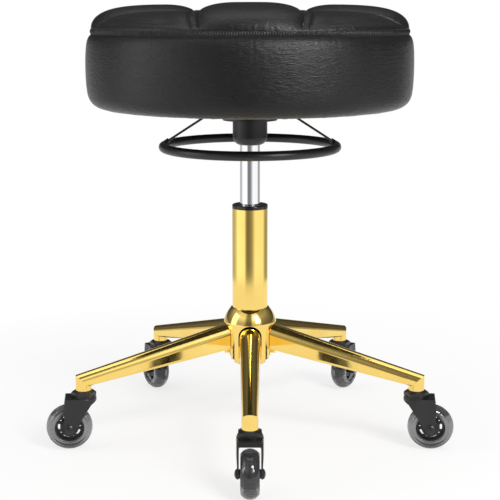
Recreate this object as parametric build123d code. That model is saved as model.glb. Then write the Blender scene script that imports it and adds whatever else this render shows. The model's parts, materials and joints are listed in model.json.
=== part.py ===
from build123d import *
import math
import os

# Pedicure stool: a round tufted seat on a gas lift, a ring lever under the seat,
# and a five-arm base on swivel casters. Millimetres, +Z up, front towards -Y.
# The origin is on the floor, on the axis of the column.

# Seat
SEAT_TOP = 608.0
SEAT_BOTTOM = 466.0
SEAM_RADIUS = 215.5
SEAM_Z = 570.5
SKIN = 1.5
PLEAT_OFFSET = 73.0
PLEAT_WIDTH = 10.5
PLEAT_FLOOR = 598.5
PLEAT_MOUTH = 34.0
BOARD_RADIUS = 187.0
BOARD_BOTTOM = SEAT_BOTTOM + SKIN
BOARD_TOP = 480.0
HEM_RADIUS = 170.0

# Gas lift
ROD_RADIUS = 5.0
LIFT_RADIUS = 14.0
LIFT_BORE = 12.0
LIFT_BOTTOM = 245.0
LIFT_TOP = 452.0
NECK_START = 424.0
NECK_RADIUS = 13.3
COLUMN_RADIUS = 25.0
COLUMN_BORE = 22.5
COLUMN_TOP = 325.0
COLUMN_BOTTOM = 103.0
COLUMN_FOOT_RADIUS = 22.3
TAPER_TOP = 160.0
COLLAR_TOP = 330.5
BUSH_BOTTOM = 265.0
PIN_RADIUS = 3.0
PIN_TOP = 459.8
PIN_DOME = 1.2
FIT = 0.05

# Mounting plate and lever
PLATE_SIZE = 150.0
PLATE_SHEET = 2.0
PLATE_TOP = BOARD_BOTTOM
PAN_RADIUS = 46.0
PAN_BOTTOM = 457.0
DISH_RADIUS = 38.0
DISH_BOTTOM = 448.0
SLEEVE_RADIUS = 18.5
BOLT_OFFSET = 52.0
RING_RADIUS = 120.0
RING_SECTION = 6.4
RING_Z = 411.4
WIRE_RADIUS = 1.6
WIRE_Y = 16.0
WIRE_Z = 461.5
WIRE_HALF_BAR = 46.5
WIRE_FOOT_OFFSET = 3.5
WIRE_FOOT_RISE = 1.0
BOOT_RADIUS = 24.0
BOOT_BOTTOM = 414.0

# Base
HUB_TOP = 183.5
HUB_RADIUS = 37.0
HUB_CORE = 29.2
POCKET_TOP = 163.0
POCKET_GAP = 1.2
HUB_BOTTOM = 113.7
ARM_WALL = 1.8
ARM_ROOT = {"x": 22.0, "width": 30.0, "top": 164.8, "bottom": 128.0, "corner": 5.0}
ARM_TIP = {"x": 241.0, "width": 21.0, "top": 107.5, "bottom": 89.0, "corner": 4.0}
ARM_HOLLOW_END = 227.0
STEM_CIRCLE = 241.0
SOCKET_RADIUS = 10.75
SOCKET_BOTTOM = 83.5
SOCKET_SHOULDER = 95.0

# Casters: each one's arm and the way its wheel trails, in degrees from +X
CASTERS = {
    "front": (-90, -90),
    "right": (-18, -7),
    "rear_right": (54, 62),
    "rear_left": (126, 118),
    "left": (198, 187),
}
WHEEL_RADIUS = 31.75
TYRE_HALF = 12.0
TYRE_SHOULDER = 25.0
TRAIL = 20.5
CORE_RADIUS = 20.2
CORE_HALF = 7.5
CORE_HUB = 12.5
CORE_RIM = 17.5
RIM_HALF = 5.0
WEB_HALF = 2.5
SLOT_CIRCLE = 14.5
BEARING_RADIUS = 11.0
BEARING_WIDTH = 7.0
BEARING_STOP = 0.45
AXLE_RADIUS = 4.0
CAP_RADIUS = 6.3
CAP_DOME = 2.2
FORK_TOP = 74.0
FORK_ROOF = 68.0
FORK_HALF = 17.4
FORK_CHEEK = 16.2
FORK_INNER = 14.0
FORK_EYE = 6.9
STEM_RADIUS = 5.5
STEM_TOP = 102.0


def revolved(points, *arcs):
    """Solid of revolution from (radius, z) corners; arcs are (index, bulge point)."""
    bulges = dict(arcs)
    with BuildSketch(Plane.XZ) as section:
        with BuildLine():
            for i, start in enumerate(points):
                end = points[(i + 1) % len(points)]
                if i in bulges:
                    ThreePointArc(start, bulges[i], end)
                else:
                    Line(start, end)
        make_face()
    return revolve(section.sketch, Axis.Z)


def dome_bulge(radius, base, height):
    """Point halfway along a spherical dome that rises from (radius, base) to the axis."""
    sphere = (radius**2 + height**2) / (2 * height)
    half_angle = math.asin(radius / sphere) / 2
    return sphere * math.sin(half_angle), base + height - sphere * (1 - math.cos(half_angle))


def tube(outer, bore, low, high):
    """Plain round tube about the Z axis."""
    ring = Circle(outer) - Circle(bore)
    return Pos(0, 0, low) * extrude(ring, high - low)


def disc(radius, low, high):
    return Pos(0, 0, low) * extrude(Circle(radius), high - low)


def column_radius(z, extra=0.0):
    """Outer radius of the column tube, which tapers towards its foot."""
    drop = (TAPER_TOP - z) / (TAPER_TOP - COLUMN_BOTTOM)
    return COLUMN_RADIUS + extra - max(0.0, drop) * (COLUMN_RADIUS - COLUMN_FOOT_RADIUS)


# ---------------------------------------------------------------- base


def arch_section(station, inset=0.0):
    """Section of an arm: flat underneath with rounded corners, half round on top."""
    half = station["width"] / 2 - inset
    top = station["top"] - inset
    bottom = station["bottom"] + inset
    corner = station["corner"] - inset
    spring = top - half
    lean = corner * (1 - math.sqrt(0.5))
    with BuildSketch(Plane.YZ.offset(station["x"])) as section:
        with BuildLine():
            Line((-half + corner, bottom), (half - corner, bottom))
            ThreePointArc((half - corner, bottom), (half - lean, bottom + lean), (half, bottom + corner))
            Line((half, bottom + corner), (half, spring))
            ThreePointArc((half, spring), (0, top), (-half, spring))
            Line((-half, spring), (-half, bottom + corner))
            ThreePointArc((-half, bottom + corner), (-half + lean, bottom + lean), (-half + corner, bottom))
        make_face()
    return section.sketch


def between(station_a, station_b, x):
    """Arm section at x, between the root and the tip."""
    t = (x - station_a["x"]) / (station_b["x"] - station_a["x"])
    return {key: station_a[key] + t * (station_b[key] - station_a[key]) for key in station_a}


def make_arm():
    """Tapered hollow arm along +X with its welded caster socket."""
    outer = loft([arch_section(ARM_ROOT), arch_section(ARM_TIP)])
    run_out = between(ARM_ROOT, ARM_TIP, STEM_CIRCLE + 2 * SOCKET_RADIUS)
    run_on = loft([arch_section(ARM_TIP), arch_section(run_out)])
    hollow_end = between(ARM_ROOT, ARM_TIP, ARM_HOLLOW_END)
    hollow = loft([arch_section(ARM_ROOT, ARM_WALL), arch_section(hollow_end, ARM_WALL)])
    stem_axis = Pos(STEM_CIRCLE, 0, 0)
    socket = stem_axis * disc(SOCKET_RADIUS, SOCKET_BOTTOM, SOCKET_SHOULDER)
    mitre = run_on & (stem_axis * disc(SOCKET_RADIUS, SOCKET_BOTTOM, 120))
    bore = stem_axis * disc(STEM_RADIUS + FIT, SOCKET_BOTTOM - 1, STEM_TOP + 1)
    root_cut = disc(HUB_CORE + FIT, 0, 200)
    return outer - hollow - root_cut + mitre + socket - bore


def make_hub():
    """Domed cap over a short barrel, with one arched pocket for each arm."""
    profile = [
        (COLUMN_RADIUS + FIT, HUB_TOP),
        (26.8, HUB_TOP),
        (HUB_RADIUS - 0.4, 165.5),
        (HUB_RADIUS, 162.5),
        (HUB_RADIUS, HUB_BOTTOM),
        (column_radius(HUB_BOTTOM, FIT), HUB_BOTTOM),
        (COLUMN_RADIUS + FIT, TAPER_TOP),
    ]
    barrel = revolved(profile, (1, (32.6, 175.6)), (2, (HUB_RADIUS - 0.05, 164.1)))
    half = ARM_ROOT["width"] / 2 + POCKET_GAP
    spring = POCKET_TOP - half
    with BuildSketch(Plane.YZ.offset(20)) as arch:
        with BuildLine():
            Line((-half, HUB_BOTTOM - 1), (half, HUB_BOTTOM - 1))
            Line((half, HUB_BOTTOM - 1), (half, spring))
            ThreePointArc((half, spring), (0, spring + half), (-half, spring))
            Line((-half, spring), (-half, HUB_BOTTOM - 1))
        make_face()
    pocket = extrude(arch.sketch, 30) - disc(HUB_CORE, 0, 200)
    for arm, _ in CASTERS.values():
        barrel -= Rot(0, 0, arm) * pocket
    return barrel


def make_stand_tube():
    """Column tube with a tapered foot and a bottom plate for the rod."""
    inner_foot = column_radius(COLUMN_BOTTOM + 3) - (COLUMN_RADIUS - COLUMN_BORE)
    shell = revolved(
        [
            (COLUMN_BORE, COLUMN_TOP),
            (COLUMN_RADIUS, COLUMN_TOP),
            (COLUMN_RADIUS, TAPER_TOP),
            (COLUMN_FOOT_RADIUS, COLUMN_BOTTOM),
            (ROD_RADIUS + 0.1, COLUMN_BOTTOM),
            (ROD_RADIUS + 0.1, COLUMN_BOTTOM + 3),
            (inner_foot, COLUMN_BOTTOM + 3),
            (COLUMN_BORE, TAPER_TOP),
        ]
    )
    return shell


def make_guide_bush():
    """Plastic collar on top of the column, with the sleeve that guides the lift."""
    bore = LIFT_RADIUS + 0.1
    sleeve = COLUMN_BORE - FIT
    return revolved(
        [
            (bore, COLLAR_TOP),
            (COLUMN_RADIUS - 1.5, COLLAR_TOP),
            (COLUMN_RADIUS, COLLAR_TOP - 1.5),
            (COLUMN_RADIUS, COLUMN_TOP + FIT),
            (sleeve, COLUMN_TOP + FIT),
            (sleeve, BUSH_BOTTOM),
            (bore, BUSH_BOTTOM),
        ],
        (1, (COLUMN_RADIUS - 0.45, COLLAR_TOP - 0.45)),
    )


# ---------------------------------------------------------------- gas lift

BEARING_LOW = COLUMN_BOTTOM + 3 + FIT
SHOULDER_LOW = 112.0
SHOULDER_HIGH = 114.5
BUFFER_HIGH = 131.0
PISTON_LOW = 295.0
PISTON_HIGH = 304.0


def make_piston_rod():
    """Rod with a clip groove at its foot, a shoulder on the bearing and a piston seat."""
    return revolved(
        [
            (0, 96.0),
            (ROD_RADIUS - 1, 96.0),
            (ROD_RADIUS, 97.0),
            (ROD_RADIUS, 101.0),
            (ROD_RADIUS - 1, 101.0),
            (ROD_RADIUS - 1, 102.7),
            (ROD_RADIUS, 102.7),
            (ROD_RADIUS, SHOULDER_LOW),
            (9.0, SHOULDER_LOW),
            (9.0, SHOULDER_HIGH),
            (ROD_RADIUS, SHOULDER_HIGH),
            (ROD_RADIUS, PISTON_LOW),
            (ROD_RADIUS - 1, PISTON_LOW),
            (ROD_RADIUS - 1, PISTON_HIGH + 2),
            (0, PISTON_HIGH + 2),
        ]
    )


def make_lift_tube():
    """Chromed cylinder: closed below by a gland, tapered neck above, pin bore on top."""
    return revolved(
        [
            (ROD_RADIUS + 0.1, LIFT_BOTTOM),
            (LIFT_RADIUS - 1, LIFT_BOTTOM),
            (LIFT_RADIUS, LIFT_BOTTOM + 1),
            (LIFT_RADIUS, NECK_START),
            (NECK_RADIUS, LIFT_TOP),
            (PIN_RADIUS + FIT, LIFT_TOP),
            (PIN_RADIUS + FIT, LIFT_TOP - 12),
            (LIFT_BORE, LIFT_TOP - 12),
            (LIFT_BORE, LIFT_BOTTOM + 17),
            (ROD_RADIUS + 0.1, LIFT_BOTTOM + 17),
        ]
    )


def make_release_pin():
    """Valve pin with a domed end above the neck and a retaining head inside."""
    return revolved(
        [
            (0, 432.0),
            (5.0, 432.0),
            (5.0, 435.0),
            (PIN_RADIUS, 435.0),
            (PIN_RADIUS, PIN_TOP - PIN_DOME),
            (0, PIN_TOP),
        ],
        (4, dome_bulge(PIN_RADIUS, PIN_TOP - PIN_DOME, PIN_DOME)),
    )


# ---------------------------------------------------------------- mechanism


def make_mounting_plate():
    """Pressed steel plate: square rim, round pan and a deeper dish round the sleeve."""
    rim_low = PLATE_TOP - PLATE_SHEET
    rim = Pos(0, 0, rim_low) * extrude(RectangleRounded(PLATE_SIZE, PLATE_SIZE, 18), PLATE_SHEET)
    rim -= disc(PAN_RADIUS - PLATE_SHEET, rim_low - 1, PLATE_TOP + 1)
    pan = revolved(
        [
            (PAN_RADIUS, rim_low),
            (PAN_RADIUS, PAN_BOTTOM),
            (DISH_RADIUS, PAN_BOTTOM),
            (DISH_RADIUS, DISH_BOTTOM),
            (SLEEVE_RADIUS + FIT, DISH_BOTTOM),
            (SLEEVE_RADIUS + FIT, DISH_BOTTOM + PLATE_SHEET),
            (DISH_RADIUS - PLATE_SHEET, DISH_BOTTOM + PLATE_SHEET),
            (DISH_RADIUS - PLATE_SHEET, PAN_BOTTOM + PLATE_SHEET),
            (PAN_RADIUS - PLATE_SHEET, PAN_BOTTOM + PLATE_SHEET),
            (PAN_RADIUS - PLATE_SHEET, rim_low),
        ]
    )
    plate = rim + pan
    for side in (-1, 1):
        slot = Pos(side * 42, WIRE_Y, 462.3) * Box(9, 6, 6.2)
        plate -= slot
    for x in (-BOLT_OFFSET, BOLT_OFFSET):
        for y in (-BOLT_OFFSET, BOLT_OFFSET):
            plate -= Pos(x, y, 0) * disc(3.3, rim_low - 1, PLATE_TOP + 1)
    return plate


def make_socket_sleeve():
    """Steel sleeve of the plate, bored to the neck's taper."""
    return revolved(
        [
            (LIFT_RADIUS + FIT, NECK_START + 0.5),
            (SLEEVE_RADIUS, NECK_START + 0.5),
            (SLEEVE_RADIUS, LIFT_TOP + 1),
            (NECK_RADIUS + FIT, LIFT_TOP + 1),
            (NECK_RADIUS + FIT, LIFT_TOP),
        ]
    )


def make_socket_boot():
    """Black plastic cup that hides the sleeve and narrows onto the lift."""
    top = DISH_BOTTOM - 0.1
    step = NECK_START + 0.4
    return revolved(
        [
            (SLEEVE_RADIUS + FIT, top),
            (BOOT_RADIUS - 1, top),
            (BOOT_RADIUS, top - 1),
            (BOOT_RADIUS, step + 2),
            (15.6, BOOT_BOTTOM),
            (LIFT_RADIUS + 0.3, BOOT_BOTTOM),
            (LIFT_RADIUS + 0.3, step),
            (SLEEVE_RADIUS + FIT, step),
        ],
        (3, (21.9, BOOT_BOTTOM + 4.6)),
    )


def wire_foot():
    """Where a wire ends: inside the ring's tube, towards its outer side."""
    x = math.sqrt(RING_RADIUS**2 - WIRE_Y**2) + WIRE_FOOT_OFFSET
    return x, RING_Z + WIRE_FOOT_RISE


def make_lever_ring():
    return Pos(0, 0, RING_Z) * Torus(RING_RADIUS, RING_SECTION)


def make_lever_wire(ring):
    """Bent wire: a cross bar through the pan and two legs down to the ring."""
    foot_x, foot_z = wire_foot()
    route = [
        (-foot_x, WIRE_Y, foot_z),
        (-WIRE_HALF_BAR, WIRE_Y, WIRE_Z),
        (WIRE_HALF_BAR, WIRE_Y, WIRE_Z),
        (foot_x, WIRE_Y, foot_z),
    ]
    path = FilletPolyline(*route, radius=7)
    start = Plane(origin=path @ 0, z_dir=path % 0)
    return sweep(start * Circle(WIRE_RADIUS), path) - ring


def make_wire_ferrules(ring, wire):
    """Crimped feet that hold the two wires to the ring."""
    foot_x, foot_z = wire_foot()
    ferrules = []
    for side in (-1, 1):
        foot = Vector(side * foot_x, WIRE_Y, foot_z)
        leg = Vector(side * WIRE_HALF_BAR, WIRE_Y, WIRE_Z) - foot
        frame = Plane(origin=foot, z_dir=leg)
        ferrule = frame * Pos(0, 0, 3) * extrude(Circle(3.4), 8.0)
        ferrules.append(ferrule - ring - wire)
    return Compound(children=ferrules)


def make_lever_paddle():
    """Tongue clamped on the cross bar, reaching over the release pin."""
    sleeve = Pos(0, WIRE_Y, WIRE_Z) * Rot(0, 90, 0) * Cylinder(3.6, 30)
    tongue = Pos(0, (WIRE_Y - 8) / 2, 461.1) * Box(16, WIRE_Y + 8, 2)
    bar = Pos(0, WIRE_Y, WIRE_Z) * Rot(0, 90, 0) * Cylinder(WIRE_RADIUS + 0.02, 40)
    return sleeve + tongue - bar


def make_plate_bolts():
    """Four hex-headed bolts up through the plate into the board."""
    low = PLATE_TOP - PLATE_SHEET
    head = Pos(0, 0, low - 4) * extrude(RegularPolygon(5.8, 6), 4)
    bolt = head + disc(3.0, low, BOARD_TOP + 0.5)
    return Compound(children=[Pos(x, y, 0) * bolt for x, y in bolt_places()])


def make_tee_nuts():
    """Four tee nuts pressed into the board from above."""
    nut = tube(9.0, 3.05, BOARD_TOP, BOARD_TOP + 1.5) + tube(4.2, 3.05, BOARD_TOP - 8, BOARD_TOP)
    return Compound(children=[Pos(x, y, 0) * nut for x, y in bolt_places()])


def bolt_places():
    return [(x, y) for x in (-BOLT_OFFSET, BOLT_OFFSET) for y in (-BOLT_OFFSET, BOLT_OFFSET)]


# ---------------------------------------------------------------- seat


def pleat_tool(inset):
    """Trapezoid channel along Y that sinks one pleat."""
    floor = PLEAT_WIDTH / 2 + inset
    mouth = PLEAT_MOUTH / 2 + inset
    with BuildSketch(Plane.XZ.offset(-260)) as channel:
        with BuildLine():
            Polyline(
                (-floor, PLEAT_FLOOR - inset),
                (floor, PLEAT_FLOOR - inset),
                (mouth, SEAT_TOP + 2),
                (-mouth, SEAT_TOP + 2),
                close=True,
            )
        make_face()
    return extrude(channel.sketch, 520)


def seat_body(inset):
    """Outside of the cushion, inset by a skin thickness, with its four pleats."""
    top = SEAT_TOP - inset
    bottom = SEAT_BOTTOM + inset
    with BuildSketch(Plane.XZ) as section:
        with BuildLine():
            Spline(
                (0, top),
                (110, top - 1.5),
                (176, top - 6),
                (204 - inset, top - 18),
                (SEAM_RADIUS - inset, SEAM_Z),
                tangents=((1, 0), (0.1, -1)),
            )
            Spline(
                (SEAM_RADIUS - inset, SEAM_Z),
                (221.9 - inset, 553),
                (223.2 - inset, 515),
                (221 - inset, 485),
                (208 - inset, 470 + inset),
                (188, bottom),
                tangents=((0.8, -1), (-1, 0)),
            )
            Line((188, bottom), (0, bottom))
            Line((0, bottom), (0, top))
        make_face()
    body = revolve(section.sketch, Axis.Z)
    tool = pleat_tool(inset)
    for offset in (-PLEAT_OFFSET, PLEAT_OFFSET):
        body -= Pos(offset, 0, 0) * tool
        body -= Rot(0, 0, 90) * Pos(offset, 0, 0) * tool
    return body


def make_seat():
    """Board, foam, top panel and side band."""
    outside = seat_body(0)
    inside = seat_body(SKIN)
    skin = outside - inside
    above = disc(260, SEAM_Z, SEAT_TOP + 10)
    top_panel = skin & above
    side_band = skin - above - disc(HEM_RADIUS, SEAT_BOTTOM - 1, BOARD_BOTTOM + 1)
    board_blank = disc(BOARD_RADIUS, BOARD_BOTTOM, BOARD_TOP)
    board = board_blank - disc(22, BOARD_BOTTOM - 1, BOARD_TOP + 1)
    foam = inside - board_blank
    for x, y in bolt_places():
        board -= Pos(x, y, 0) * disc(4.2, BOARD_BOTTOM - 1, BOARD_TOP + 1)
        foam -= Pos(x, y, 0) * disc(9.0, BOARD_TOP - 1, BOARD_TOP + 1.5)
    return {"seat_board": board, "foam_cushion": foam, "top_panel": top_panel, "side_band": side_band}


def make_dust_cover():
    """Thin fabric under the board, with a square opening round the plate."""
    low = SEAT_BOTTOM + 0.3
    opening = RectangleRounded(PLATE_SIZE + 4, PLATE_SIZE + 4, 20)
    return Pos(0, 0, low) * extrude(Circle(HEM_RADIUS - 1) - opening, 1.0)


# ---------------------------------------------------------------- casters


def make_stem():
    """Caster stem: hexagon nut under the socket, shank in it, rivet head in the fork."""
    nut_low, nut_high = 75.8, SOCKET_BOTTOM - FIT
    nut = Pos(0, 0, nut_low) * extrude(RegularPolygon(17.2, 6), nut_high - nut_low)
    chamfer_tool = revolved([(0, nut_low), (17.2, nut_low), (17.2, 80.0), (11.5, nut_high), (0, nut_high)])
    shank = disc(STEM_RADIUS, FORK_ROOF - 0.1, STEM_TOP)
    rivet = revolved([(0, 65.2), (7.4, 65.2), (8.4, 66.2), (8.4, FORK_ROOF - 0.1), (0, FORK_ROOF - 0.1)])
    return (nut & chamfer_tool) + shank + rivet


def fork_outline():
    """Side view of the fork: square shoulder behind, slanting front edge, round eye."""
    eye = (TRAIL, WHEEL_RADIUS)
    slant = math.radians(217)
    front_eye = (eye[0] + FORK_EYE * math.cos(slant), eye[1] + FORK_EYE * math.sin(slant))
    back_eye = (eye[0] + FORK_EYE, eye[1])
    below = math.radians(290)
    under_eye = (eye[0] + FORK_EYE * math.cos(below), eye[1] + FORK_EYE * math.sin(below))
    with BuildSketch(Plane.XZ) as outline:
        with BuildLine():
            Polyline(
                back_eye,
                (27.4, 62),
                (25.4, FORK_TOP),
                (-18, FORK_TOP),
                (-18, 69.5),
                (-10, 65.0),
                (-4.5, 57.5),
                front_eye,
            )
            ThreePointArc(front_eye, under_eye, back_eye)
        make_face()
    return extrude(outline.sketch, 20, both=True)


def rounded_plan(half, cheek, low, high):
    """Plan of the fork: half round about the stem, then cheeks that step in to a flat."""
    right = [(0, half), (1.5, half), (10.5, cheek), (40, cheek)]
    left = [(x, -y) for x, y in reversed(right)]
    cheeks = make_face(Polyline(*right, *left, close=True))
    return Pos(0, 0, low) * extrude(Circle(half) + cheeks, high - low)


def make_fork():
    """Pressed fork with its ball race ring on top."""
    fork = rounded_plan(FORK_HALF, FORK_CHEEK, 20, FORK_TOP) & fork_outline()
    roof_edges = fork.edges().filter_by(GeomType.CIRCLE).group_by(Axis.Z)[-1]
    fork = fillet(roof_edges, 1.5)
    fork -= rounded_plan(FORK_INNER, FORK_INNER, 10, FORK_ROOF)
    hub = Pos(TRAIL, 0, WHEEL_RADIUS) * Rot(90, 0, 0)
    fork -= hub * Cylinder(WHEEL_RADIUS + 1.5, 2 * FORK_INNER)
    fork -= hub * Cylinder(AXLE_RADIUS + FIT, 60)
    fork -= disc(STEM_RADIUS + 0.1, 60, 80)
    race = tube(16.4, STEM_RADIUS + 0.1, FORK_TOP, 75.7)
    return Compound(children=[fork, race])


def make_axle():
    """Axle bolt with a domed head, a domed nut and two spacers."""
    rim = FORK_CHEEK + 1.2
    head = [(0, FORK_CHEEK), (CAP_RADIUS, FORK_CHEEK), (CAP_RADIUS, rim), (0, rim + CAP_DOME)]
    cap = revolved(head, (2, dome_bulge(CAP_RADIUS, rim, CAP_DOME)))
    shank = disc(AXLE_RADIUS, -FORK_CHEEK - 1.6, FORK_CHEEK)
    nut = Rot(180, 0, 0) * cap - disc(AXLE_RADIUS, -FORK_CHEEK - 1.6, 0)
    width = FORK_INNER - CORE_HALF - 2 * FIT
    spacers = [tube(6.0, AXLE_RADIUS, low, low + width) for low in (CORE_HALF + FIT, FIT - FORK_INNER)]
    return Compound(children=[cap + shank, nut] + spacers)


def make_bearings():
    """Two ball bearings, one at each side of the wheel."""
    bearing = tube(BEARING_RADIUS, AXLE_RADIUS + FIT, 0, BEARING_WIDTH)
    groove = tube(9.6, 6.2, BEARING_WIDTH - 0.4, BEARING_WIDTH)
    right = Pos(0, 0, CORE_HALF - BEARING_WIDTH) * (bearing - groove)
    return Compound(children=[right, Rot(180, 0, 0) * right])


def make_core():
    """Moulded wheel core: rim, hub and a thin web with long slots and round holes."""
    core = revolved(
        [
            (BEARING_RADIUS, -CORE_HALF),
            (CORE_HUB, -CORE_HALF),
            (CORE_HUB, -WEB_HALF),
            (CORE_RIM, -WEB_HALF),
            (CORE_RIM, -RIM_HALF),
            (CORE_RADIUS, -RIM_HALF),
            (CORE_RADIUS, RIM_HALF),
            (CORE_RIM, RIM_HALF),
            (CORE_RIM, WEB_HALF),
            (CORE_HUB, WEB_HALF),
            (CORE_HUB, CORE_HALF),
            (BEARING_RADIUS, CORE_HALF),
            (BEARING_RADIUS, BEARING_STOP),
            (8.0, BEARING_STOP),
            (8.0, -BEARING_STOP),
            (BEARING_RADIUS, -BEARING_STOP),
        ]
    )
    slot_path = CenterArc((0, 0), SLOT_CIRCLE, -11.5, 23)
    for i in range(5):
        slot = Pos(0, 0, -10) * extrude(SlotArc(slot_path, 3.2), 20)
        hole = Pos(SLOT_CIRCLE, 0, -10) * extrude(Circle(1.4), 20)
        core -= Rot(0, 0, 72 * i) * slot
        core -= Rot(0, 0, 72 * i + 36) * hole
    return core


def make_tyre():
    """Clear tread ring with a round crown."""
    bore = CORE_RADIUS
    return revolved(
        [(bore, -TYRE_HALF), (TYRE_SHOULDER, -TYRE_HALF), (TYRE_SHOULDER, TYRE_HALF), (bore, TYRE_HALF)],
        (1, (WHEEL_RADIUS, 0)),
    )


def place_caster(arm, trail):
    """Frame of one caster: Z up through its stem, X towards its wheel."""
    x = STEM_CIRCLE * math.cos(math.radians(arm))
    y = STEM_CIRCLE * math.sin(math.radians(arm))
    return Pos(x, y, 0) * Rot(0, 0, trail)


# ---------------------------------------------------------------- assembly


def make_nodes():
    nodes = {
        "hub": make_hub(),
        "stand_tube": make_stand_tube(),
        "guide_bush": make_guide_bush(),
        "piston_rod": make_piston_rod(),
        "piston": tube(LIFT_BORE - FIT, ROD_RADIUS - 1, PISTON_LOW, PISTON_HIGH),
        "rubber_buffer": tube(10.0, ROD_RADIUS, SHOULDER_HIGH, BUFFER_HIGH),
        "thrust_bearing": tube(12.0, ROD_RADIUS, BEARING_LOW, SHOULDER_LOW),
        "rod_clip": tube(9.0, ROD_RADIUS - 1, 101.1, 102.6),
        "lift_tube": make_lift_tube(),
        "release_pin": make_release_pin(),
        "mounting_plate": make_mounting_plate(),
        "socket_sleeve": make_socket_sleeve(),
        "socket_boot": make_socket_boot(),
        "lever_paddle": make_lever_paddle(),
        "dust_cover": make_dust_cover(),
        "plate_bolts": make_plate_bolts(),
        "tee_nuts": make_tee_nuts(),
    }
    ring = make_lever_ring()
    wire = make_lever_wire(ring)
    nodes["lever_ring"] = ring
    nodes["lever_wire"] = wire
    nodes["wire_ferrules"] = make_wire_ferrules(ring, wire)
    nodes.update(make_seat())

    arm = make_arm()
    stem, fork, axle = make_stem(), make_fork(), make_axle()
    core, bearings, tyre = make_core(), make_bearings(), make_tyre()
    wheel = Pos(TRAIL, 0, WHEEL_RADIUS) * Rot(90, 0, 0)
    for name, (arm_az, trail_az) in CASTERS.items():
        nodes[f"arm_{name}"] = Rot(0, 0, arm_az) * arm
        place = place_caster(arm_az, trail_az)
        nodes[f"caster_{name}_stem"] = place * stem
        nodes[f"caster_{name}_fork"] = place * fork
        nodes[f"caster_{name}_axle"] = place * wheel * axle
        nodes[f"caster_{name}_core"] = place * wheel * core
        nodes[f"caster_{name}_bearings"] = place * wheel * bearings
        nodes[f"caster_{name}_tyre"] = place * wheel * tyre
    return nodes


os.makedirs("parts", exist_ok=True)
for node_name, shape in make_nodes().items():
    export_step(shape, f"parts/{node_name}.step")
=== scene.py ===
"""Pedicure stool: looks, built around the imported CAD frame. Metres, +Z up, front towards -Y."""

import json
import math

import bpy
import numpy as np
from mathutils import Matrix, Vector, geometry


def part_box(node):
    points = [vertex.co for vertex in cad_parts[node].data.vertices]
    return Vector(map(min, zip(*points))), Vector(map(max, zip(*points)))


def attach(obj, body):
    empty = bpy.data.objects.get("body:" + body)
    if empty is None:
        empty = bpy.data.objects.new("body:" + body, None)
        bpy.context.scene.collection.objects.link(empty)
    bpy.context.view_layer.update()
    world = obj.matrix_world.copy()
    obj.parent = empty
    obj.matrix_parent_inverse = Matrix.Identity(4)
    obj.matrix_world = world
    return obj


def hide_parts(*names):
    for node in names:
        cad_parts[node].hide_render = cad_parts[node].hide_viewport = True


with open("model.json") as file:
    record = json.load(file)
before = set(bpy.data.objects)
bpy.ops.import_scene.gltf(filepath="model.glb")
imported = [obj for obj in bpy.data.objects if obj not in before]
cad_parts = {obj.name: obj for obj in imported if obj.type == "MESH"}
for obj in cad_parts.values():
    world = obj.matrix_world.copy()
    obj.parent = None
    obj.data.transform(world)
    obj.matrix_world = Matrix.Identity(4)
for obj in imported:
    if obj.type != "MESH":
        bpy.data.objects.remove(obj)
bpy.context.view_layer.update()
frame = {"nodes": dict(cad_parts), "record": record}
scene = bpy.context.scene
MM = 0.001

# ------------------------------------------------------------------ sizes read from the frame

panel_low, panel_high = (Vector(c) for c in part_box("top_panel"))
band_low = Vector(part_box("side_band")[0])
board_high = Vector(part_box("seat_board")[1])

SEAM_RADIUS = panel_high.x
SEAM_Z = panel_low.z
CROWN_Z = panel_high.z
SEAT_BOTTOM = band_low.z
STITCH_PITCH = 3.3 * MM
EDGE_BAND = 7.0 * MM
PLEAT_OFFSET = 73 * MM
PLEAT_WIDTH = 10.5 * MM
PLEAT_DEPTH = 11.0 * MM
PILLOW_REACH = 50 * MM
CORNER_RUN = 40 * MM
CORNER_DROP = 9.0 * MM
UPPER_STITCH_Z = SEAM_Z + 2.0 * MM
LOWER_STITCH_Z = UPPER_STITCH_Z - EDGE_BAND


# ------------------------------------------------------------------ material helpers


def new_material(name):
    """Node material with a Principled shader; returns the material and the shader."""
    material = bpy.data.materials.new(name)
    material.use_nodes = True
    shader = next(n for n in material.node_tree.nodes if n.type == "BSDF_PRINCIPLED")
    return material, shader


def link(material, output, target):
    material.node_tree.links.new(output, target)


def add(material, kind, **values):
    """Adds a node; keyword values go to its inputs by name, or to its properties."""
    node = material.node_tree.nodes.new(kind)
    for key, value in values.items():
        label = key.replace("_", " ")
        if label in node.inputs:
            node.inputs[label].default_value = value
        else:
            setattr(node, key, value)
    return node


def coordinates(material, kind="Object", scale=(1, 1, 1)):
    source = add(material, "ShaderNodeTexCoord")
    mapping = add(material, "ShaderNodeMapping")
    mapping.inputs["Scale"].default_value = scale
    link(material, source.outputs[kind], mapping.inputs["Vector"])
    return mapping.outputs["Vector"]


def noise(material, vector, scale, detail=4.0, roughness=0.55):
    node = add(material, "ShaderNodeTexNoise", Scale=scale, Detail=detail, Roughness=roughness)
    link(material, vector, node.inputs["Vector"])
    return node.outputs["Fac"]


def ramp(material, factor, stops):
    """Colour ramp from (position, grey or colour) stops."""
    node = add(material, "ShaderNodeValToRGB")
    band = node.color_ramp
    while len(band.elements) < len(stops):
        band.elements.new(0.5)
    for element, (position, value) in zip(band.elements, stops):
        element.position = position
        colour = (value, value, value) if isinstance(value, (int, float)) else value
        element.color = (*colour, 1)
    link(material, factor, node.inputs["Fac"])
    return node.outputs["Color"]


def bump(material, height, strength, distance, below=None):
    node = add(material, "ShaderNodeBump", Strength=strength, Distance=distance)
    link(material, height, node.inputs["Height"])
    if below is not None:
        link(material, below, node.inputs["Normal"])
    return node.outputs["Normal"]


def set_shader(shader, **values):
    for key, value in values.items():
        shader.inputs[key.replace("_", " ")].default_value = value


# ------------------------------------------------------------------ materials


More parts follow.
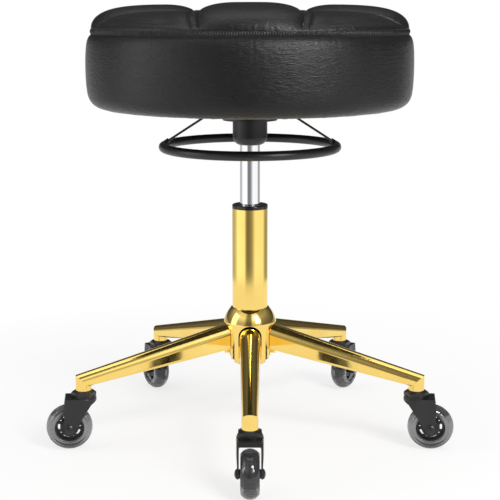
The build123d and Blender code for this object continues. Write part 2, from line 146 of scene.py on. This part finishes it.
def polished_metal(name, light, dark, roughness, smudge):
    """Polished plate: slight tone drift, polishing smudges and a very fine grain."""
    material, shader = new_material(name)
    place = coordinates(material)
    drift = noise(material, place, 14, 3)
    link(material, ramp(material, drift, [(0.3, dark), (0.7, light)]), shader.inputs["Base Color"])
    wipes = noise(material, coordinates(material, scale=(1, 1, 0.25)), 60, 5)
    rough = ramp(material, wipes, [(0.35, roughness), (0.75, roughness + smudge)])
    link(material, rough, shader.inputs["Roughness"])
    grain = noise(material, coordinates(material, scale=(1, 1, 0.05)), 1500, 2)
    link(material, bump(material, grain, 0.04, 0.00005), shader.inputs["Normal"])
    set_shader(shader, Metallic=1.0)
    return material


def coated_steel(name, colour, roughness):
    """Black powder coat: fine orange peel with a faintly uneven gloss."""
    material, shader = new_material(name)
    place = coordinates(material)
    lighter = tuple(c * 1.7 for c in colour)
    tone = ramp(material, noise(material, place, 40, 4), [(0.3, colour), (0.8, lighter)])
    link(material, tone, shader.inputs["Base Color"])
    peel = noise(material, place, 900, 3)
    link(material, bump(material, peel, 0.18, 0.0002), shader.inputs["Normal"])
    gloss = ramp(material, noise(material, place, 120, 4), [(0.3, roughness), (0.8, roughness + 0.1)])
    link(material, gloss, shader.inputs["Roughness"])
    set_shader(shader, Metallic=0.0, Specular_IOR_Level=0.5)
    return material


def moulded_plastic(name, colour, roughness, texture):
    """Moulded plastic with a spark-eroded texture."""
    material, shader = new_material(name)
    place = coordinates(material)
    lighter = tuple(c * 1.4 for c in colour)
    tone = ramp(material, noise(material, place, 25, 3), [(0.3, colour), (0.8, lighter)])
    link(material, tone, shader.inputs["Base Color"])
    spark = noise(material, place, 2200, 2)
    link(material, bump(material, spark, texture, 0.0001), shader.inputs["Normal"])
    gloss = ramp(material, noise(material, place, 90, 3), [(0.3, roughness), (0.8, roughness + 0.07)])
    link(material, gloss, shader.inputs["Roughness"])
    return material


def leatherette(name):
    """Black leatherette: pebble grain, long creases and a lightly uneven gloss."""
    material, shader = new_material(name)
    sheet = coordinates(material, "UV")
    tone = noise(material, sheet, 20, 4)
    link(
        material,
        ramp(material, tone, [(0.25, (0.004, 0.004, 0.0043)), (0.8, (0.008, 0.008, 0.0085))]),
        shader.inputs["Base Color"],
    )
    gloss = ramp(material, noise(material, sheet, 160, 5), [(0.3, 0.27), (0.8, 0.39)])
    link(material, gloss, shader.inputs["Roughness"])
    pebble = add(material, "ShaderNodeTexVoronoi", Scale=850.0, feature="DISTANCE_TO_EDGE")
    link(material, coordinates(material, "UV"), pebble.inputs["Vector"])
    cells = ramp(material, pebble.outputs["Distance"], [(0.0, 0.0), (0.16, 1.0)])
    grain = bump(material, cells, 0.22, 0.00012)
    creases = noise(material, coordinates(material, "UV", (55, 170, 1)), 1.0, 5, 0.62)
    folds = ramp(material, creases, [(0.36, 0.0), (0.5, 1.0), (0.64, 0.1)])
    creased = bump(material, folds, 0.38, 0.0008, grain)
    link(material, creased, shader.inputs["Normal"])
    set_shader(shader, Specular_IOR_Level=0.32)
    return material


def thread(name):
    """Twisted black polyester thread."""
    material, shader = new_material(name)
    twist = add(material, "ShaderNodeTexWave", Scale=900.0, Distortion=1.0)
    link(material, coordinates(material, "Object"), twist.inputs["Vector"])
    tone = ramp(material, twist.outputs["Fac"], [(0.2, 0.006), (0.9, 0.02)])
    link(material, tone, shader.inputs["Base Color"])
    link(material, bump(material, twist.outputs["Fac"], 0.4, 0.0001), shader.inputs["Normal"])
    set_shader(shader, Roughness=0.55)
    return material


def clear_polyurethane(name):
    """Smoke-clear cast polyurethane with faint haze."""
    material, shader = new_material(name)
    place = coordinates(material)
    smoke = [(0.3, (0.22, 0.22, 0.225)), (0.8, (0.30, 0.30, 0.31))]
    tone = ramp(material, noise(material, place, 50, 4), smoke)
    link(material, tone, shader.inputs["Base Color"])
    haze = ramp(material, noise(material, place, 200, 4), [(0.3, 0.005), (0.8, 0.03)])
    link(material, haze, shader.inputs["Roughness"])
    set_shader(shader, Transmission_Weight=0.92, IOR=1.5)
    return material


def woven(name, colour, scale):
    """Thin non-woven backing cloth with crossed threads."""
    material, shader = new_material(name)
    warp = add(material, "ShaderNodeTexWave", Scale=scale, bands_direction="X")
    weft = add(material, "ShaderNodeTexWave", Scale=scale, bands_direction="Y")
    for wave in (warp, weft):
        link(material, coordinates(material), wave.inputs["Vector"])
    cloth = add(material, "ShaderNodeMath", operation="MULTIPLY")
    link(material, warp.outputs["Fac"], cloth.inputs[0])
    link(material, weft.outputs["Fac"], cloth.inputs[1])
    tone = ramp(material, cloth.outputs["Value"], [(0.0, tuple(c * 0.5 for c in colour)), (1.0, colour)])
    link(material, tone, shader.inputs["Base Color"])
    link(material, bump(material, cloth.outputs["Value"], 0.5, 0.0003), shader.inputs["Normal"])
    set_shader(shader, Roughness=0.9)
    return material


def plywood(name):
    """Birch plywood: thin glued layers on the edge, soft grain on the face."""
    material, shader = new_material(name)
    layers = add(material, "ShaderNodeTexWave", Scale=260.0, bands_direction="Z", Distortion=0.6)
    link(material, coordinates(material), layers.inputs["Vector"])
    grain = noise(material, coordinates(material, scale=(8, 90, 30)), 1.0, 6)
    mix = add(material, "ShaderNodeMath", operation="ADD")
    link(material, layers.outputs["Fac"], mix.inputs[0])
    link(material, grain, mix.inputs[1])
    tone = ramp(material, mix.outputs["Value"], [(0.3, (0.36, 0.23, 0.12)), (1.0, (0.70, 0.52, 0.32))])
    link(material, tone, shader.inputs["Base Color"])
    link(material, bump(material, grain, 0.3, 0.0003), shader.inputs["Normal"])
    set_shader(shader, Roughness=0.7)
    return material


def open_foam(name):
    """Cream polyurethane foam with open cells."""
    material, shader = new_material(name)
    cells = add(material, "ShaderNodeTexVoronoi", Scale=420.0)
    link(material, coordinates(material), cells.inputs["Vector"])
    tone = ramp(material, cells.outputs["Distance"], [(0.1, (0.86, 0.80, 0.62)), (0.7, (0.62, 0.55, 0.38))])
    link(material, tone, shader.inputs["Base Color"])
    link(material, bump(material, cells.outputs["Distance"], 0.7, 0.0008), shader.inputs["Normal"])
    set_shader(shader, Roughness=0.95)
    return material


MATERIALS = {
    "gold_plate": polished_metal("gold_plate", (0.98, 0.73, 0.22), (0.92, 0.64, 0.17), 0.06, 0.06),
    "chrome_tube": polished_metal("chrome_tube", (0.86, 0.87, 0.89), (0.80, 0.81, 0.83), 0.05, 0.05),
    "bright_steel": polished_metal("bright_steel", (0.62, 0.62, 0.64), (0.48, 0.48, 0.50), 0.28, 0.14),
    "black_steel": coated_steel("black_steel", (0.006, 0.006, 0.0065), 0.30),
    "satin_black_plastic": moulded_plastic("satin_black_plastic", (0.008, 0.008, 0.008), 0.36, 0.20),
    "gloss_black_plastic": moulded_plastic("gloss_black_plastic", (0.006, 0.006, 0.0065), 0.16, 0.05),
    "black_rubber": moulded_plastic("black_rubber", (0.02, 0.02, 0.02), 0.75, 0.5),
    "black_leatherette": leatherette("black_leatherette"),
    "clear_polyurethane": clear_polyurethane("clear_polyurethane"),
    "dust_fabric": woven("dust_fabric", (0.035, 0.035, 0.036), 700.0),
    "plywood": plywood("plywood"),
    "foam": open_foam("foam"),
}
THREAD = thread("black_thread")

# ------------------------------------------------------------------ mesh helpers


def mesh_object(name, points, faces, material, body, sheet=None):
    """Smooth mesh piece from points and faces; sheet holds a flat (u, v) per point."""
    mesh = bpy.data.meshes.new(name)
    mesh.from_pydata([tuple(p) for p in points], [], [tuple(f) for f in faces])
    mesh.materials.append(material)
    mesh.polygons.foreach_set("use_smooth", [True] * len(mesh.polygons))
    if sheet is not None:
        corners = np.empty(len(mesh.loops), dtype=np.int32)
        mesh.loops.foreach_get("vertex_index", corners)
        layer = mesh.uv_layers.new(name="sheet")
        layer.data.foreach_set("uv", np.asarray(sheet)[corners].ravel())
    piece = bpy.data.objects.new(name, mesh)
    scene.collection.objects.link(piece)
    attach(piece, body)
    return piece


def ring_faces(rows, columns):
    """Quads of a surface of rows of points that close round on themselves."""
    faces = []
    for i in range(rows - 1):
        for j in range(columns):
            k = (j + 1) % columns
            faces.append((i * columns + j, i * columns + k, (i + 1) * columns + k, (i + 1) * columns + j))
    return faces


def smooth_step(value):
    value = np.clip(value, 0, 1)
    return value * value * (3 - 2 * value)


def ripple(along, waves, seed):
    """Uneven ripple from -1 to 1 along a seam, made of a few sine waves per turn or metre."""
    phases = np.random.default_rng(seed).uniform(0, 2 * math.pi, len(waves))
    total = sum(np.sin(along * wave + phase) for wave, phase in zip(waves, phases))
    return total / len(waves)


# ------------------------------------------------------------------ cushion: top panel

RIM_DROP = CROWN_Z - 3 * MM - SEAM_Z


def envelope(radius):
    """Height of the crown without its pleats."""
    share = np.clip(radius / SEAM_RADIUS, 0, 1)
    rim = (1 - share**7) ** 0.46
    middle = np.clip(1 - (radius / (120 * MM)) ** 2, 0, 1)
    return UPPER_STITCH_Z + (RIM_DROP - 2 * MM) * rim + 3 * MM * middle


radii = SEAM_RADIUS * np.sin(np.linspace(0, math.pi / 2, 4000))
heights = envelope(radii)
spans = np.hypot(np.diff(radii), np.diff(heights))
lengths = np.concatenate([[0], np.cumsum(spans)])
REACH = lengths[-1]


def pillow(distance, reach):
    """1 at the edge of a pleat, falling to 0 at the crown of the tuft beside it."""
    t = np.clip((np.abs(distance) - PLEAT_WIDTH / 2) / reach, 0, 1)
    return 1 - (1 - (1 - t) ** 2.3) ** 0.62


def pleat_marks(distance, along, seed):
    """Small relief of one pleat: bulging band, two stitched grooves and their puckers."""
    edge = np.abs(np.abs(distance) - PLEAT_WIDTH / 2)
    inside = np.abs(distance) < PLEAT_WIDTH / 2
    bulge = np.where(inside, np.cos(math.pi * distance / PLEAT_WIDTH), 0) * 1.1 * MM
    groove = -1.2 * MM * np.exp(-((edge / (0.9 * MM)) ** 2))
    beat = np.cos(2 * math.pi * along / STITCH_PITCH)
    fine = 0.22 * MM * beat * np.exp(-((edge / (2.0 * MM)) ** 2))
    long_waves = [2 * math.pi / (w * MM) for w in (6.1, 8.7, 13.0, 21.0)]
    pucker = 0.75 * MM * ripple(along, long_waves, seed) * np.exp(-np.abs(edge) / (6.5 * MM))
    return bulge + groove + fine + pucker


def from_pleat(w):
    """Signed distance from the nearer of the two pleats that cross the w direction."""
    return np.where(np.abs(w - PLEAT_OFFSET) < np.abs(w + PLEAT_OFFSET), w - PLEAT_OFFSET, w + PLEAT_OFFSET)


def top_surface(u, v, sink=0.0):
    """Points of the tufted top for flat coordinates u, v; sink lowers it for the foam below."""
    flat = np.maximum(np.hypot(u, v), 1e-9)
    radius = np.interp(flat, lengths, radii)
    height = np.interp(flat, lengths, heights)
    slope_r = np.interp(flat + 0.4 * MM, lengths, radii) - np.interp(flat - 0.4 * MM, lengths, radii)
    slope_z = np.interp(flat + 0.4 * MM, lengths, heights) - np.interp(flat - 0.4 * MM, lengths, heights)
    size = np.maximum(np.hypot(slope_r, slope_z), 1e-9)
    normal_r, normal_z = -slope_z / size, slope_r / size
    du, dv = from_pleat(u), from_pleat(v)
    sunk = 1 - (1 - pillow(du, PILLOW_REACH)) * (1 - pillow(dv, PILLOW_REACH))
    corner = smooth_step((np.abs(u) - PLEAT_OFFSET) / CORNER_RUN)
    corner = corner * smooth_step((np.abs(v) - PLEAT_OFFSET) / CORNER_RUN)
    rim = smooth_step((REACH - flat) / (20 * MM))
    marks = pleat_marks(du, v, 3) + pleat_marks(dv, u, 5)
    offset = -PLEAT_DEPTH * sunk * (0.35 + 0.65 * rim) * smooth_step((REACH - flat) / (7 * MM))
    offset += marks * smooth_step((REACH - flat) / (4 * MM)) - CORNER_DROP * corner * rim
    turn = np.arctan2(v, u)
    gather = ripple(turn * SEAM_RADIUS, [2 * math.pi / (w * MM) for w in (7.0, 9.5, 15.0, 24.0)], 9)
    near_rim = np.exp(-np.abs(REACH - flat - 3 * MM) / (6 * MM)) * smooth_step((REACH - flat) / (2 * MM))
    offset += 0.35 * MM * gather * near_rim
    offset -= sink * smooth_step(flat / (5 * MM))
    radius = radius + offset * normal_r
    height = height + offset * np.maximum(normal_z, 0.0)
    return np.stack([u / flat * radius, v / flat * radius, height], axis=-1)


def disc_points(coarse, fine_across, fine_along):
    """Flat points of the top panel: coarse over the tufts, fine along the pleats and the rim."""
    lines = np.arange(-REACH, REACH, coarse)
    u, v = (g.ravel() for g in np.meshgrid(lines, lines))
    zone = 10 * MM
    between = (np.abs(from_pleat(u)) >= zone) & (np.abs(from_pleat(v)) >= zone)
    keep = between & (np.hypot(u, v) < REACH - 9 * MM)
    sets = [np.stack([u[keep], v[keep]], -1)]
    across = np.arange(-zone, zone + fine_across / 2, fine_across)
    along = np.arange(-REACH, REACH, fine_along)
    for side in (-1, 1):
        a, s = (g.ravel() for g in np.meshgrid(across + side * PLEAT_OFFSET, along))
        inside = np.hypot(a, s) < REACH - 9 * MM
        sets.append(np.stack([a[inside], s[inside]], -1))
        free = inside & (np.abs(from_pleat(s)) >= zone)
        sets.append(np.stack([s[free], a[free]], -1))
    for depth in np.array([8.0, 6.8, 5.6, 4.4, 3.3, 2.3, 1.4, 0.6, 0.0]) * MM:
        turn = np.linspace(0, 2 * math.pi, 1080, endpoint=False)
        sets.append((REACH - depth) * np.stack([np.cos(turn), np.sin(turn)], -1))
    return np.concatenate(sets)


def triangulate(points):
    """Delaunay triangles over flat points, all facing up."""
    # Worked in millimetres, because the triangulator merges points closer than its tolerance.
    flat = [Vector((float(x / MM), float(y / MM))) for x, y in points]
    result = geometry.delaunay_2d_cdt(flat, [], [], 0, 1e-4)
    return np.array([tuple(v) for v in result[0]]) * MM, [tuple(f) for f in result[2]]


flat_points, top_faces = triangulate(disc_points(3.0 * MM, 0.9 * MM, 1.1 * MM))
top_points = top_surface(flat_points[:, 0], flat_points[:, 1])
cushion_top = mesh_object(
    "cushion_top", top_points, top_faces, MATERIALS["black_leatherette"], "seat", flat_points
)

# ------------------------------------------------------------------ cushion: side band, edge band and hem

BAND_PROFILE = [
    (0.0, LOWER_STITCH_Z),
    (4.2, LOWER_STITCH_Z - 5.5 * MM),
    (6.6, 0.551),
    (7.9, 0.534),
    (8.0, 0.513),
    (7.0, 0.493),
    (4.4, 0.480),
    (-2.0, 0.4712),
    (-12.0, 0.4668),
    (-26.0, SEAT_BOTTOM),
    (-44.0, SEAT_BOTTOM),
]


def smooth_curve(points, count):
    """Catmull-Rom curve through points, resampled to an even spacing."""
    points = np.array(points, dtype=float)
    padded = np.vstack([2 * points[0] - points[1], points, 2 * points[-1] - points[-2]])
    steps = np.linspace(0, 1, 24, endpoint=False)[:, None]
    parts = []
    for a, b, c, d in zip(padded, padded[1:], padded[2:], padded[3:]):
        square = (2 * a - 5 * b + 4 * c - d) * steps**2
        cube = (3 * b - a - 3 * c + d) * steps**3
        parts.append(0.5 * (2 * b + (c - a) * steps + square + cube))
    curve = np.vstack(parts + [points[-1:]])
    walk = np.concatenate([[0], np.cumsum(np.hypot(*np.diff(curve, axis=0).T))])
    even = np.linspace(0, walk[-1], count)
    return np.stack([np.interp(even, walk, curve[:, 0]), np.interp(even, walk, curve[:, 1])], -1), even


def swept_ring(name, profile, walk, columns, relief, sheet_start):
    """Closed band round the Z axis; relief(turn, walk) pushes points out along the profile's normal."""
    turn = np.linspace(0, 2 * math.pi, columns, endpoint=False)
    tangent = np.gradient(profile, axis=0)
    tangent /= np.linalg.norm(tangent, axis=1)[:, None]
    normal = np.stack([-tangent[:, 1], tangent[:, 0]], -1)
    push = relief(turn[None, :], walk[:, None])
    radius = profile[:, :1] + push * normal[:, :1]
    height = profile[:, 1:] + push * normal[:, 1:]
    points = np.stack([radius * np.cos(turn), radius * np.sin(turn), height + 0 * turn], -1).reshape(-1, 3)
    across = sheet_start - walk[:, None] + 0 * radius
    sheet = np.stack([turn * SEAM_RADIUS + 0 * radius, across], -1).reshape(-1, 2)
    return mesh_object(
        name, points, ring_faces(len(profile), columns), MATERIALS["black_leatherette"], "seat", sheet
    )


def side_relief(turn, walk):
    """Gathers under the seam, slack folds near the hem, a soft swell and the side seam in front."""
    along = turn * SEAM_RADIUS
    gathers = ripple(along, [2 * math.pi / (w * MM) for w in (7.5, 10.5, 16.0, 27.0)], 21)
    near_seam = 0.3 * MM * gathers * np.exp(-walk / (9 * MM)) * smooth_step(walk / (2.0 * MM))
    folds = np.abs(ripple(along, [2 * math.pi / (w * MM) for w in (14.0, 19.0, 31.0, 47.0)], 22))
    under = 1.3 * MM * folds * smooth_step((walk - 100 * MM) / (30 * MM))
    belly = np.sin(np.clip(walk / (110 * MM), 0, 1) * math.pi)
    swell = 0.5 * MM * ripple(turn, [3, 5, 8], 23) * belly
    from_front = (turn - math.radians(271)) * SEAM_RADIUS
    fade = smooth_step(1 - walk / (60 * MM)) * smooth_step(walk / (3 * MM))
    groove = np.exp(-((from_front / (1.1 * MM)) ** 2))
    crease = groove - 0.8 * np.exp(-(((from_front - 3.2 * MM) / (1.2 * MM)) ** 2))
    return near_seam + under + swell - 0.2 * MM * crease * fade


def edge_relief(turn, walk):
    """Puckered band between the two stitch rows: one slanted swelling for each stitch."""
    across = walk / EDGE_BAND
    arch = np.sin(np.clip(across, 0, 1) * math.pi) ** 0.8
    along = turn * SEAM_RADIUS
    beat = np.cos(2 * math.pi * (along / STITCH_PITCH + 0.35 * across))
    uneven = 1 + 0.35 * ripple(along, [2 * math.pi / (w * MM) for w in (17.0, 29.0, 41.0)], 31)
    return (1.15 * arch + 0.42 * beat * arch**0.5 * uneven) * MM


profile = [(SEAM_RADIUS + r * MM, z) for r, z in BAND_PROFILE]
band_curve, band_walk = smooth_curve(profile, 96)
cushion_side = swept_ring("cushion_side", band_curve, band_walk, 900, side_relief, 0.0)

edge_profile = np.stack(
    [np.full(11, SEAM_RADIUS), np.linspace(UPPER_STITCH_Z, LOWER_STITCH_Z, 11)], -1
)
edge_walk = np.linspace(0, EDGE_BAND, 11)
STITCHES = round(2 * math.pi * SEAM_RADIUS / STITCH_PITCH)
edge_band = swept_ring("cushion_edge_band", edge_profile, edge_walk, STITCHES * 7, edge_relief, 0.02)

# ------------------------------------------------------------------ stitches


def stitch_mesh(name, places, body):
    """Many short threads: places holds (middle, direction, outward) for each stitch."""
    half, thick = 0.36 * STITCH_PITCH, 0.42 * MM
    sides = 6
    rows = [(-1.0, 0.25), (-0.82, 0.8), (-0.3, 1.0), (0.3, 1.0), (0.82, 0.8), (1.0, 0.25)]
    points, faces = [], []
    for middle, direction, outward in places:
        across = np.cross(outward, direction)
        base = len(points)
        for step, width in rows:
            centre = middle + direction * half * step - outward * thick * 0.5 * step**4
            for i in range(sides):
                a = 2 * math.pi * i / sides
                points.append(centre + thick * width * (math.cos(a) * across + 0.8 * math.sin(a) * outward))
        for r in range(len(rows) - 1):
            for i in range(sides):
                j = (i + 1) % sides
                low, high = base + r * sides, base + (r + 1) * sides
                faces.append((low + i, low + j, high + j, high + i))
        faces.append(tuple(base + i for i in reversed(range(sides))))
        faces.append(tuple(base + (len(rows) - 1) * sides + i for i in range(sides)))
    return mesh_object(name, points, faces, THREAD, body)


def ring_stitches(height, out):
    places = []
    for i in range(STITCHES):
        a = 2 * math.pi * (i + 0.5) / STITCHES
        outward = np.array([math.cos(a), math.sin(a), 0.0])
        direction = np.array([-math.sin(a), math.cos(a), 0.0])
        middle = outward * (SEAM_RADIUS + out)
        middle[2] = height
        places.append((middle, direction, outward))
    return places


def pleat_surface(along, across, swap):
    """Points of the top for a pleat that runs along u, or along v when swap is true."""
    return top_surface(across, along) if swap else top_surface(along, across)


def pleat_stitches():
    """Rows of stitches along both edges of the four pleats, on the finished surface."""
    limit = math.sqrt((REACH - 6 * MM) ** 2 - PLEAT_OFFSET**2)
    along = np.arange(-limit, limit, STITCH_PITCH)
    step = 0.5 * MM
    places = []
    for side in (-1, 1):
        for edge in (-1, 1):
            across = np.full_like(along, side * PLEAT_OFFSET + edge * PLEAT_WIDTH / 2)
            for swap in (False, True):
                middle = pleat_surface(along, across, swap)
                ahead = pleat_surface(along + step, across, swap) - pleat_surface(along - step, across, swap)
                aside = pleat_surface(along, across + step, swap) - pleat_surface(along, across - step, swap)
                ahead /= np.linalg.norm(ahead, axis=1)[:, None]
                outward = np.cross(ahead, aside)
                outward /= np.linalg.norm(outward, axis=1)[:, None]
                outward *= np.sign(outward[:, 2:])
                places += list(zip(middle + 0.35 * MM * outward, ahead, outward))
    return places


seam_rows = ring_stitches(UPPER_STITCH_Z, 0.25 * MM) + ring_stitches(LOWER_STITCH_Z, 0.35 * MM)
seam_stitches = stitch_mesh("seam_stitches", seam_rows, "seat")
tuft_stitches = stitch_mesh("tuft_stitches", pleat_stitches(), "seat")

# ------------------------------------------------------------------ foam under the cover


def level_ring(radius, height, turn):
    return np.stack([radius * np.cos(turn), radius * np.sin(turn), 0 * turn + height], -1)


def make_foam():
    """Foam that follows the cover about 3 mm inside it and sits on the board."""
    rings, columns = 44, 160
    turn = np.linspace(0, 2 * math.pi, columns, endpoint=False)
    rows = []
    for reach in np.linspace(1 * MM, REACH - 10 * MM, rings):
        rows.append(top_surface(reach * np.cos(turn), reach * np.sin(turn), 3.0 * MM))
    inset = 3.5 * MM
    for radius, height in band_curve[6:-12:4]:
        tall = max(height, board_high.z - 8 * MM)
        rows.append(level_ring(radius - inset, tall, turn))
    under = board_high.z + 0.2 * MM
    inner = board_high.x + 0.5 * MM
    rows.append(level_ring(inner, board_high.z - 8 * MM, turn))
    rows.append(level_ring(inner, under, turn))
    rows.append(level_ring(1 * MM, under, turn))
    points = np.concatenate(rows)
    faces = ring_faces(len(rows), columns)
    faces.append(tuple(reversed(range(columns))))
    faces.append(tuple((len(rows) - 1) * columns + i for i in range(columns)))
    return mesh_object("foam_core", points, faces, MATERIALS["foam"], "seat")


foam_core = make_foam()

for piece, node in ((cushion_top, "top_panel"), (cushion_side, "side_band"), (foam_core, "foam_cushion")):
    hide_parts(node)

# ------------------------------------------------------------------ CAD nodes

slot_of = {part["node"]: part["material_slot"] for part in frame["record"]["subparts"]}
for name, node in frame["nodes"].items():
    for holder in node.material_slots:
        holder.material = MATERIALS[slot_of[name]]

# ------------------------------------------------------------------ stage, light and camera


def around_ramp(world, share, stops):
    """Brightness against azimuth; stops are (degrees from the front, brightness)."""
    return ramp(world, share, [((a + 180) / 360, v) for a, v in stops])


def make_world():
    """Studio of soft boxes: what the metals and the leather reflect, white where the camera looks."""
    world = bpy.data.worlds.new("studio")
    scene.world = world
    world.use_nodes = True
    background = next(n for n in world.node_tree.nodes if n.type == "BACKGROUND")
    output = next(n for n in world.node_tree.nodes if n.type == "OUTPUT_WORLD")
    direction = add(world, "ShaderNodeTexCoord").outputs["Generated"]
    parts = add(world, "ShaderNodeSeparateXYZ")
    link(world, direction, parts.inputs["Vector"])
    back = add(world, "ShaderNodeMath", operation="MULTIPLY")
    back.inputs[1].default_value = -1.0
    link(world, parts.outputs["Y"], back.inputs[0])
    azimuth = add(world, "ShaderNodeMath", operation="ARCTAN2")
    link(world, parts.outputs["X"], azimuth.inputs[0])
    link(world, back.outputs["Value"], azimuth.inputs[1])
    share = add(world, "ShaderNodeMapRange")
    share.inputs["From Min"].default_value = -math.pi
    share.inputs["From Max"].default_value = math.pi
    link(world, azimuth.outputs["Value"], share.inputs["Value"])
    # Below the horizon: what upright faces reflect.
    around = [
        (-180, 0.9), (-150, 0.6), (-125, 0.5), (-105, 0.75), (-85, 1.3), (-36, 1.2),
        (-27, 0.45), (-18, 0.2), (-5, 0.22), (8, 0.32), (18, 0.5), (28, 0.95), (38, 1.15),
        (92, 1.1), (112, 0.4), (135, 0.35), (158, 0.85), (180, 0.9),
    ]
    wall = around_ramp(world, share.outputs["Result"], around)
    height = ramp(world, parts.outputs["Z"], [(0.0, 0.22), (0.35, 0.5), (0.6, 0.9), (1.0, 0.5)])
    # Above the horizon: what sloping faces and the cushion's top reflect.
    over = [
        (-180, 0.13), (-150, 0.15), (-105, 0.6), (-60, 1.2), (-30, 1.2), (-14, 0.3),
        (4, 0.3), (14, 1.6), (45, 1.5), (58, 0.5), (110, 0.35), (150, 0.15), (180, 0.13),
    ]
    turned = around_ramp(world, share.outputs["Result"], over)
    sky_mix = add(world, "ShaderNodeMix", data_type="RGBA", blend_type="MULTIPLY")
    sky_mix.inputs["Factor"].default_value = 1.0
    link(world, height, sky_mix.inputs["A"])
    link(world, turned, sky_mix.inputs["B"])
    sky = sky_mix.outputs["Result"]
    above = add(world, "ShaderNodeMapRange")
    above.inputs["From Min"].default_value = 0.0
    above.inputs["From Max"].default_value = 0.08
    link(world, parts.outputs["Z"], above.inputs["Value"])
    lit = add(world, "ShaderNodeMix", data_type="RGBA")
    link(world, above.outputs["Result"], lit.inputs["Factor"])
    link(world, wall, lit.inputs["A"])
    link(world, sky, lit.inputs["B"])
    link(world, lit.outputs["Result"], background.inputs["Color"])
    background.inputs["Strength"].default_value = 1.0
    plain = add(world, "ShaderNodeBackground")
    plain.inputs["Color"].default_value = (1, 1, 1, 1)
    seen = add(world, "ShaderNodeLightPath")
    choose = add(world, "ShaderNodeMixShader")
    link(world, seen.outputs["Is Camera Ray"], choose.inputs["Fac"])
    link(world, background.outputs["Background"], choose.inputs[1])
    link(world, plain.outputs["Background"], choose.inputs[2])
    link(world, choose.outputs["Shader"], output.inputs["Surface"])


def make_floor():
    """Round white sweep under the stool; it glows to plain white towards its edge."""
    radius, count = 1.05, 96
    turns = [2 * math.pi * i / count for i in range(count)]
    rim = [(radius * math.cos(a), radius * math.sin(a), 0) for a in turns]
    mesh = bpy.data.meshes.new("floor")
    mesh.from_pydata(rim, [], [tuple(range(count))])
    material, shader = new_material("white_sweep")
    set_shader(shader, Base_Color=(0.9, 0.9, 0.9, 1), Roughness=0.9)
    glow = add(material, "ShaderNodeEmission", Strength=1.0)
    away = add(material, "ShaderNodeVectorMath", operation="LENGTH")
    link(material, coordinates(material), away.inputs[0])
    fade = ramp(material, away.outputs["Value"], [(0.25, 0.75), (0.85, 1.0)])
    blend = add(material, "ShaderNodeMixShader")
    surface = next(n for n in material.node_tree.nodes if n.type == "OUTPUT_MATERIAL").inputs["Surface"]
    link(material, fade, blend.inputs["Fac"])
    link(material, shader.outputs["BSDF"], blend.inputs[1])
    link(material, glow.outputs["Emission"], blend.inputs[2])
    link(material, blend.outputs["Shader"], surface)
    mesh.materials.append(material)
    floor = bpy.data.objects.new("floor", mesh)
    scene.collection.objects.link(floor)


def add_area(name, place, aim, size, power):
    data = bpy.data.lights.new(name, "AREA")
    data.shape = "RECTANGLE"
    data.size, data.size_y = size
    data.energy = power
    lamp = bpy.data.objects.new(name, data)
    lamp.location = place
    lamp.rotation_euler = (Vector(aim) - Vector(place)).to_track_quat("-Z", "Y").to_euler()
    scene.collection.objects.link(lamp)


make_world()
make_floor()
MIDDLE = (0, 0, 0.32)
add_area("top_box", (0.0, 0.4, 2.6), MIDDLE, (2.4, 2.0), 18)
add_area("left_box", (-2.3, -0.5, 1.1), MIDDLE, (1.2, 1.8), 12)
add_area("right_box", (1.5, -1.9, 1.35), (0, 0, 0.52), (0.9, 0.7), 24)
add_area("high_box", (1.15, -1.7, 2.0), (0.1, -0.1, 0.55), (0.7, 0.5), 30)

CAMERA_PLACE = (0.0, -1.775, 0.6045)
CAMERA_PITCH = math.radians(90) - 0.189
camera_data = bpy.data.cameras.new("camera")
camera_data.sensor_width = 36.0
camera_data.lens = 92.4
camera = bpy.data.objects.new("camera", camera_data)
camera.location = CAMERA_PLACE
camera.rotation_euler = (CAMERA_PITCH, 0, 0)
scene.collection.objects.link(camera)
scene.camera = camera
scene.view_settings.view_transform = "Standard"
